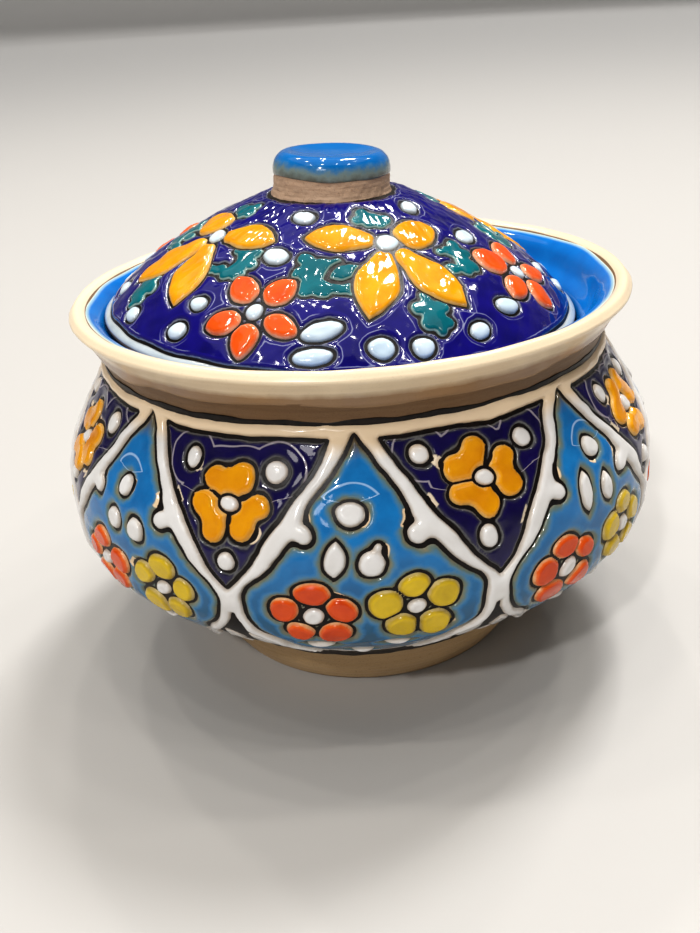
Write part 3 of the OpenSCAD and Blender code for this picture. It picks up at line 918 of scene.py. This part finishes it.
def bowl_motifs(field):
    """Every motif on the belly, as one distance function a glaze."""
    cells = {name: field.blank() for name in ("dots", "orange", "yellow", "ochre", "hearts", "gaps")}
    at = field.surface.s_at_height

    def dot(name, kind, angle, z, across, up, turn=0.0):
        da, dz, lean, size = rng.normal(size=4) * (0.2, 0.2, 6, 0.04)
        index, u, v = field.near(angle + da, at(z + dz), DOT_REACH)
        u, v = turned(u / (1 + size), v / (1 + size), turn + lean)
        draw(cells[name], index, DOT_SHAPES[kind](u, v, across, up))

    for i in range(PANELS):
        blue_angle = i * PANEL_ANGLE + PATTERN_TURN
        navy_angle = blue_angle + PANEL_ANGLE / 2
        for angle, dots, gaps in (
            (blue_angle, SPOTS[i % len(SPOTS)] + DASHES, BLUE_GAPS),
            (navy_angle, NAVY_SPOTS[i % len(NAVY_SPOTS)], NAVY_GAPS),
        ):
            for kind, aside, z, across, up in dots:
                dot("dots", kind, angle + aside, z, across, up)
            for aside, z, turn in gaps:
                dot("gaps", "gap", angle + aside, z, *GAP_SIZE, turn)
        for name, aside, z, wide in (("orange", -8.2, 37.4, 1.14), ("yellow", 8.7, 38.6, 1.06)):
            da, dz, turn = rng.normal(size=3) * (0.2, 0.25, 4)
            index, u, v = field.near(blue_angle + aside + da, at(z + dz), FLOWER_REACH)
            petals, heart = five_petals(u / wide, v / 0.95, turn, 5.0, 3.15, 2.85)
            draw(cells[name], index, petals)
            draw(cells["hearts"], index, heart)
        da, dz, lean = rng.normal(size=3) * (0.15, 0.2, 4)
        turn, height = LOBED_FLOWERS[i % len(LOBED_FLOWERS)]
        index, u, v = field.near(navy_angle + da, at(height + dz), LEAF_REACH)
        petals, heart = lobed_petals(u, v, turn + lean)
        draw(cells["ochre"], index, petals)
        draw(cells["hearts"], index, heart)
    return cells


def foot_leaves(field, scallop):
    """Pointed leaves that hang below the scallops, between each two panels."""
    leaves = field.blank()
    at = field.surface.s_at_height
    for i in range(PANELS):
        angle = (i + 0.5) * PANEL_ANGLE + PATTERN_TURN
        for aside, z, turn, length, width in FOOT_LEAVES:
            for side in (-1, 1):
                lean = 5 * rng.normal()
                index, u, v = field.near(angle + side * aside, at(z), LEAF_REACH)
                u, v = turned(u, v, side * turn + lean)
                draw(leaves, index, leaf(u, v + length / 2, length, width))
    return np.maximum(leaves, 0.1 - scallop)


def bowl_glazes():
    surface = Surface(smooth(BOWL_OUTLINE, 24))
    low, high = surface.s_at_height(DECOR_LOW), surface.s_at_height(DECOR_HIGH)
    field = Field(surface, low, high, 0.43, BELLY_RADIUS, seed=5)
    cells = bowl_motifs(field)
    x, z = across_panel(field, PATTERN_TURN)
    aside = np.abs(x)
    blue = field.even(inside_outline(x, z, both_sides(BLUE_HALF)))
    tip = turned(aside - SPUR[0], z - SPUR[1] + 0.9 * (x > 0), SPUR_LEAN)
    blue = -blended(-blue, egg(*tip, 2.1, 1.6, 3.4), 1.2)
    x, z = across_panel(field, PATTERN_TURN + PANEL_ANGLE / 2)
    navy = field.even(inside_outline(x, z, both_sides(NAVY_HALF)))
    collar = z - COLLAR_TOP
    scallop = np.minimum(blue - BAND * np.clip((aside - 4) / 9, 0.2, 1), BAND_SPLIT - z)
    white = np.maximum.reduce([-blue, -navy, collar, scallop])
    leaves = foot_leaves(field, scallop)
    motifs = np.minimum.reduce([cells[k] for k in ("dots", "orange", "yellow", "ochre", "hearts")])
    high_up = np.clip(POOL_LOW - z, 0, 1) * FAR
    marks = {"pool_mm": motifs - POOL + high_up, "bare_mm": cells["gaps"]}
    band, fine = BAND_LINE / 2, FINE_LINE / 2
    field_height = pillow(0.2, 0.45, 0.8, 0.15, 2)
    petal_height = pillow(0.25, 0.75, 1.1, 0.25, 1.5)
    pieces = {
        "bowl_blue_panels": (np.maximum(blue + band, fine - motifs), "panel_blue_glaze", field_height),
        "bowl_navy_panels": (np.maximum(navy + band, fine - motifs), "navy_glaze", field_height),
        "bowl_white_bands": (white + band, "white_slip_glaze", pillow(0.15, 1.0, 1.15)),
        "bowl_white_dots": (cells["dots"] + fine, "white_slip_glaze", pillow(0.2, 0.95, 1.6)),
        "bowl_orange_flowers": (cells["orange"] + fine, "orange_glaze", petal_height),
        "bowl_yellow_flowers": (cells["yellow"] + fine, "yellow_glaze", petal_height),
        "bowl_ochre_flowers": (cells["ochre"] + fine, "ochre_glaze", petal_height),
        "bowl_flower_centres": (cells["hearts"] + fine, "white_slip_glaze", pillow(0.2, 0.8, 1.2)),
        "bowl_foot_leaves": (leaves + fine, "white_slip_glaze", pillow(0.2, 0.45, 0.8)),
    }
    for name, (value, material, height) in pieces.items():
        lobed = name == "bowl_ochre_flowers"
        glaze(name, "bowl", field, value, height, material, marks=marks, lobed=lobed)


def bowl_clay():
    inside = smooth(BOWL_INSIDE, 8)
    under = [(0, 9.0), (0, 4.2), (10, 4.0), (22, 3.6), (26.2, 3.0), (27.2, 1.6), (27.6, 0.5), (28.1, 0)]
    foot = [(29, 0), (32.6, 0), (33.4, 0.3)]
    outer = smooth(BOWL_OUTLINE, 12)
    outer = outer[outer[:, 1] > 0.6]
    lip = smooth([outer[-1], LIP_TOP, LIP_INNER], 8)[1:-1]
    outline = np.vstack([foot, outer, lip, inside, under])

    def shape(theta, s, place):
        x, y, z = np.moveaxis(place, -1, 0)
        lathe = 0.05 * np.sin(z * 4.1) + ripple(theta, s, 31, 14, 0.05)
        bare = (z > 1) & (z < SEAT_HEIGHT - 0.4) & (np.hypot(x, y) > 28)
        return np.where(bare, lathe, 0)

    turned_solid("bowl_body", "bowl", outline, "bare_clay", around=320, shape=shape)


def bowl_coats():
    outside = Surface(smooth(BOWL_OUTLINE, 24))
    low, high = outside.s_at_height(DECOR_LOW), outside.s_at_height(DECOR_HIGH)
    skin(
        "bowl_outline_wash",
        "bowl",
        outside,
        lambda t: low + ripple(t, 0, 41, 8, 0.3),
        lambda t: high + ripple(t, 0, 42, 6, 0.14),
        lambda t, s, d: rounded(d, 0.12, 0.16, 0.5) + ripple(t, s, 43, 3, 0.02),
        "black_outline",
        around=440,
        rows=110,
    )
    rim = Surface(np.vstack([smooth(BOWL_OUTLINE, 12)[-20:-1], smooth([LIP, LIP_TOP, LIP_INNER], 10)]))
    skin(
        "bowl_rim_glaze",
        "bowl",
        rim,
        lambda t: 1.0 + ripple(t, 0, 44, 12, 0.35),
        rim.length[-1],
        lambda t, s, d: rounded(d, 0.02, 0.23, 0.8) + ripple(t, s, 45, 11, 0.04),
        "clear_glaze_on_clay",
        around=384,
        rows=60,
    )
    hollow = Surface(np.vstack([smooth(BOWL_INSIDE, 12), [(7, 9.05), (0, 9.0)]]))
    skin(
        "bowl_lining_glaze",
        "bowl",
        hollow,
        lambda t: 0.35 + ripple(t, 0, 46, 16, 0.14),
        hollow.length[-1] - 0.05,
        lambda t, s, d: rounded(d, 0.02, 0.36, 1.6) + ripple(t, s, 47, 9, 0.035),
        "bright_blue_glaze",
        rows=140,
        pole="high",
    )


# ---- the lid ----

LID_LINE_RADIUS = LID_RADIUS - 1.6
LID_LINE = 0.5
LID_FINE_LINE = 0.42
# angle, radius and hand of the large flowers; angle and radius of the orange ones
LID_FLOWERS = ((-62.6, 27.6, -1), (20.3, 25.6, 1))
LID_ORANGE = ((-23.1, 40.6), (65.2, 38.9))
HALF_TURN = 178
# leaves around a large flower of each hand, as (kind, degrees aside, radius, size)
LEAVES = {
    1: [("wide", -24.3, 32.2, 1.15), ("wide", 22.4, 31.4, -0.95)]
    + [("tall", 3.2, 40.6, 1), ("crown", -1.5, 18.8, 1)],
    -1: [("wide", 22.0, 31.4, -0.95), ("wide", -25, 32, 1.0)]
    + [("tall", -4.6, 42, 1), ("crown", -10.5, 20, -1)],
}
# the round lobes that run together into a leaf, as (u, v, radius)
LEAF_LOBES = {
    "wide": [(-3.9, 3.3, 1.7), (-4.8, 0.2, 1.6), (-3.4, -3.1, 2.0), (-0.8, -3.5, 1.9), (1.9, -2.6, 1.8)]
    + [(4.2, -3.0, 1.7), (-1.2, 2.0, 1.9), (1.0, 2.6, 1.3), (-2.6, 0.6, 2.4), (-2.0, -1.8, 2.3)],
    "tall": [(0, 3.4, 1.4), (-2.3, 0.6, 1.8), (2.3, 0.3, 1.8), (-1.7, -2.9, 1.7), (1.9, -3.1, 1.6)]
    + [(0, 0.4, 2.5), (0, -2.2, 2.3), (0.2, -4.7, 1.4)],
    "crown": [(-1.3, 2.2, 1.5), (-2.9, 0.2, 1.5), (0, 0, 2.3), (2.4, 0, 1.7), (1.1, -1.6, 1.5)]
    + [(-1.3, -1.2, 1.6)],
}
# angle, radius, half width, half height
LID_DOTS = [(-22.5, 18.2, 2.3, 1.9), (-24.4, 29, 2.7, 2.0), (-40.6, 41, 2.1, 1.8), (-42.2, 46, 2.1, 1.8)]
LID_DOTS += [(-4.9, 42.9, 3.9, 1.9), (-6.7, 46.6, 3.5, 1.6), (8.8, 45.6, 2.5, 2.1), (17.6, 46, 2.2, 1.9)]
LID_DOTS += [(34.4, 45.1, 2.4, 1.9), (47.9, 42.8, 3.0, 1.8), (53.9, 16.9, 2.2, 1.8), (62, 28, 2.5, 1.9)]
LID_DOTS += [(83, 42, 2.2, 1.8), (85, 46.2, 2.6, 1.7), (99, 45.5, 2.3, 1.9), (-62, 46.5, 2.2, 1.8)]


def paddle(u, v, length, width):
    """Petal with a blunt inner end, a full middle and a pointed tip."""
    blunt = egg(u, v - 0.28 * width, 0.28 * width, 0.48 * width, 0.36 * length)
    point = leaf(u, v - 0.08 * length, 0.92 * length, 0.96 * width)
    return blended(blunt, point, 1.0)


def large_flower(u, v, hand):
    """Two long outward petals, one pointed side petal and one round one, around a heart."""
    petals = []
    for side in (-1, 1):
        a, b = turned(u, v, 180 + side * 30)
        petals.append(paddle(a, b - 2.2, 17.8, 8.8))
    a, b = turned(u, v, hand * 66)
    petals.append(paddle(a, b - 2.2, 13.6, 7.8))
    a, b = turned(u, v, -hand * 68)
    petals.append(blended(oval(a, b - 7.5, 4.2, 4.8), disc(a - 1.6, b - 5.2, 2.6), 1.0))
    heart = oval(*turned(u, v, hand * 20), 2.6, 2.25)
    return np.maximum(apart(petals).min(axis=0), -heart), heart


def lobed_leaf(u, v, kind, size):
    """Cluster of round lobes run together; a negative size mirrors it."""
    u, v = u / size, v / abs(size)
    value = np.full(u.shape, FAR)
    for x, y, radius in LEAF_LOBES[kind]:
        value = blended(value, disc(u - x, v - y, radius), 0.8)
    if kind == "wide" and size > 0:
        inner = leaf(*turned(u + 0.2, v + 0.8, -62), 6.2, 3.4)
        value = np.minimum(np.maximum(value, LID_FINE_LINE - inner), inner)
    return value * abs(size)


def lid_motifs(field):
    cells = {name: field.blank() for name in ("dots", "orange", "ochre", "teal", "hearts")}
    at = field.surface.s_at_radius
    for half in (0, HALF_TURN):
        for angle, radius, hand in LID_FLOWERS:
            index, u, v = field.near(angle + half, at(radius), LARGE_REACH)
            petals, heart = large_flower(u, v, hand)
            draw(cells["ochre"], index, petals)
            draw(cells["hearts"], index, heart)
            for kind, aside, away, size in LEAVES[hand]:
                index, u, v = field.near(angle + half + aside, at(away), LEAF_REACH)
                draw(cells["teal"], index, lobed_leaf(u, v, kind, size))
        for angle, radius in LID_ORANGE:
            index, u, v = field.near(angle + half, at(radius), FLOWER_REACH)
            petals, heart = five_petals(u, v, 36 + 3 * rng.normal(), 5.8, 2.95, 3.3, pointed=True)
            draw(cells["orange"], index, petals)
            draw(cells["hearts"], index, heart)
        for angle, radius, a, b in LID_DOTS:
            aside, lean = rng.normal(size=2) * (0.4, 8)
            index, u, v = field.near(angle + half + aside, at(radius), DOT_REACH)
            draw(cells["dots"], index, oval(*turned(u, v, lean), a + 0.25, b + 0.25))
    below = [cells["hearts"], cells["orange"], cells["ochre"]]
    cells["dots"] = np.maximum(cells["dots"], -np.minimum.reduce(below))
    above = np.minimum.reduce(below + [cells["dots"]])
    cells["teal"] = np.maximum(cells["teal"], -above)
    return cells


def lid_line(surface, theta):
    """Where the black line above the lid's pale edge runs."""
    return surface.s_at_radius(LID_LINE_RADIUS) + ripple(theta, 0, 51, 9, 0.12)


def lid_glazes():
    surface = Surface(smooth(LID_OUTLINE, 24))
    low, high = surface.s_at_radius(LID_RADIUS - 1.2), surface.s_at_radius(KNOB_FOOT - 1.8)
    field = Field(surface, low, high, 0.38, 46.0, seed=9, wander=0.16)
    cells = lid_motifs(field)
    knob_ring = np.hypot(field.drawn[..., 0] + KNOB_SHIFT, field.drawn[..., 1]) - KNOB_FOOT + 0.1
    motifs = np.minimum.reduce(list(cells.values()))
    edge = lid_line(surface, field.theta) + LID_LINE / 2 - field.s
    fine = LID_FINE_LINE / 2
    petal_height = pillow(0.25, 0.7, 1.1, 0.3, 2)
    ground = np.maximum(-knob_ring, fine - motifs)
    pieces = {
        "lid_cobalt_ground": (ground, "cobalt_glaze", pillow(0.2, 0.45, 0.8, 0.15, 2)),
        "lid_yellow_flowers": (cells["ochre"] + fine, "ochre_glaze", petal_height),
        "lid_orange_flowers": (cells["orange"] + fine, "lid_orange_glaze", petal_height),
        "lid_teal_leaves": (cells["teal"] + fine, "teal_glaze", pillow(0.2, 0.5, 0.7, 0.2, 1.5)),
        "lid_white_dots": (cells["dots"] + fine, "lid_white_glaze", pillow(0.2, 0.8, 1.4)),
        "lid_flower_centres": (cells["hearts"] + fine, "lid_white_glaze", pillow(0.2, 0.7, 1.2)),
    }
    for name, (value, material, height) in pieces.items():
        value = np.maximum(value, edge)
        lobed = name in ("lid_teal_leaves", "lid_yellow_flowers")
        glaze(name, "lid", field, value, height, material, lobed=lobed)


def lid_clay():
    outer = smooth(LID_OUTLINE, 10)[:-1]
    inside = smooth(LID_INSIDE, 8)
    ring = [
        (LOCATOR_RADIUS - 3.2, 0.6 - LOCATOR_DEPTH),
        (LOCATOR_RADIUS - 2.4, -LOCATOR_DEPTH),
        (LOCATOR_RADIUS - 0.8, -LOCATOR_DEPTH),
        (LOCATOR_RADIUS, 0.8 - LOCATOR_DEPTH),
        (LOCATOR_RADIUS + 0.4, -1.1),
        (LID_RADIUS - 1.2, -1.1),
        (LID_RADIUS - 0.3, -0.6),
    ]
    outline = np.vstack([outer, [(0.01, CROWN_RISE)], inside, ring])
    turned_solid("lid_body", "lid", outline, "bare_clay")


def lid_coats():
    surface = Surface(smooth(LID_OUTLINE, 24))
    skin(
        "lid_outline_wash",
        "lid",
        surface,
        lambda t: lid_line(surface, t) - LID_LINE / 2,
        surface.s_at_radius(KNOB_FOOT - 2.5),
        lambda t, s, d: rounded(d, 0.14, 0.14, 0.5) + ripple(t, s, 53, 3, 0.02),
        "black_outline",
        around=400,
        rows=120,
    )
    skin(
        "lid_edge_band",
        "lid",
        surface,
        0.1,
        lambda t: lid_line(surface, t) - LID_LINE / 2 + 0.05,
        lambda t, s, d: rounded(d, 0.02, 0.28, 0.6),
        "lid_edge_glaze",
        around=400,
        rows=16,
    )
    hollow = Surface(smooth(LID_INSIDE, 12))
    skin(
        "lid_lining_glaze",
        "lid",
        hollow,
        0.1,
        lambda t: hollow.length[-1] - 4.4 + ripple(t, 0, 57, 9, 0.3),
        lambda t, s, d: -rounded(d, 0.02, 0.36, 1.6),
        "bright_blue_glaze",
        around=192,
        rows=80,
        pole="low",
    )


def knob():
    base = CROWN_RISE - 6.5
    neck = [(0, base), (0.9, 22.6), (0.6, 24), (0.15, 25.4), (0, 27.4)]
    head = [(0.05, 3.2), (0.5, 1.5), (1.6, 0.35), (2.8, 0.1), (4.2, 0.45), (7, 1.0), (KNOB_RADIUS, 1.3)]
    side = [(KNOB_RADIUS + flare, height) for flare, height in neck]
    side += [(KNOB_RADIUS - inset, KNOB_TOP - drop) for inset, drop in head]
    curve = smooth(side, 8)

    def shape(theta, s, place):
        rough = ripple(theta, s, 61, 7, 0.07, radius=KNOB_RADIUS)
        rough += ripple(theta, s, 62, 1.5, 0.045, radius=KNOB_RADIUS)
        return rough * np.clip((KNOB_TOP - 4.0 - place[..., 2]) / 0.8, 0, 1)

    outline = np.vstack([curve, [(0, base)]])
    turned_solid("knob", "lid", outline, "knob_clay", shape=shape, centre=-KNOB_SHIFT)
    crown = Surface(curve)
    start = float(crown.length[np.argmax(curve[:, 1] > KNOB_TOP - 4.2)])
    middle = crown.length[-1]

    def cap_height(theta, s, depth):
        swell = ripple(theta, s, 64, 12, 0.02, radius=KNOB_RADIUS) * np.clip((middle - s) / 6, 0, 1)
        return rounded(depth, 0.08, 0.22, 1.2) + swell

    skin(
        "knob_glaze_cap",
        "lid",
        crown,
        lambda t: start + ripple(t, 0, 63, 12, 0.16, radius=KNOB_RADIUS),
        middle - 0.02,
        cap_height,
        "knob_blue_glaze",
        around=256,
        rows=70,
        centre=-KNOB_SHIFT,
        pole="high",
    )


# ---- floor and light ----


FLOOR_SIDES = 96
FLOOR_COLOUR = (0.43, 0.415, 0.395, 1)
FLOOR_OUTLINE = [(2.0, 0.0), (3.0, 0.0), (3.7, 0.12), (4.0, 0.7), (4.05, 2.2)]


def add_floor():
    """A pale floor, in metres, that curves up into a low wall all round."""
    profile = smooth(FLOOR_OUTLINE, 12)
    turn = np.arange(FLOOR_SIDES) * 2 * math.pi / FLOOR_SIDES
    radius, height = profile[:, :1], profile[:, 1:]
    x, y = radius * np.cos(turn), radius * np.sin(turn)
    z = np.maximum(height, 0) + 0 * turn
    middle = list(range(FLOOR_SIDES))
    faces = [middle] + grid_triangles(len(profile), FLOOR_SIDES)[:, ::-1].tolist()
    mesh = bpy.data.meshes.new("floor")
    mesh.from_pydata(np.stack([x, y, z], -1).reshape(-1, 3).tolist(), [], faces)
    mesh.shade_smooth()
    floor = placed("floor", mesh)
    nodes = Nodes("floor")
    nodes.set(Roughness=0.6, Base_Color=FLOOR_COLOUR)
    floor.data.materials.append(nodes.material)


def add_light(name, place, size, power, colour=(1, 1, 1)):
    data = bpy.data.lights.new(name, "AREA")
    data.shape = "RECTANGLE"
    data.size, data.size_y = size
    data.energy = power
    data.color = colour
    light = placed(name, data)
    light.location = place
    aim = Matrix.Translation((0, 0, 0.05)).to_translation() - light.location
    light.rotation_euler = aim.to_track_quat("-Z", "Y").to_euler()


def add_sun(name, strength, spread, turn):
    data = bpy.data.lights.new(name, "SUN")
    data.energy = strength
    data.angle = math.radians(spread)
    sun = placed(name, data)
    sun.rotation_euler = [math.radians(angle) for angle in turn]


def add_lights():
    """Soft light from behind and above, and rows of small lamps whose glints sit on the glazes."""
    add_light("ceiling", (0, 0.25, 1.7), (2.6, 2.2), 10, (1, 0.98, 0.95))
    add_light("front", (-0.5, -1.4, 1.0), (0.5, 0.3), 3, (1, 0.97, 0.93))
    add_sun("high_sun", 1.7, 12, (-24, 16, 0))
    add_sun("front_sun", 1.1, 3, (46, 0, -24))
    for row, (y, z, power) in enumerate(((-0.35, 1.15, 0.8), (0.15, 1.2, 1.0), (0.6, 1.0, 1.2))):
        for column in range(4):
            x = (column - 1.5) * 0.36 + 0.07 * row
            add_light(f"lamp_{row}_{column}", (x, y, z), (0.05, 0.05), power, (1, 0.96, 0.9))
    world = bpy.data.worlds.new("world")
    world.use_nodes = True
    sky = world.node_tree.nodes["Background"]
    sky.inputs["Color"].default_value = (0.86, 0.89, 0.93, 1)
    sky.inputs["Strength"].default_value = 0.16
    bpy.context.scene.world = world


# ---- the scene ----

add_camera()
bowl_clay()
bowl_coats()
bowl_glazes()
lid_clay()
lid_coats()
lid_glazes()
knob()
add_floor()
add_lights()
bpy.context.scene.view_settings.view_transform = "Standard"
bpy.context.scene.view_settings.look = "Medium High Contrast"
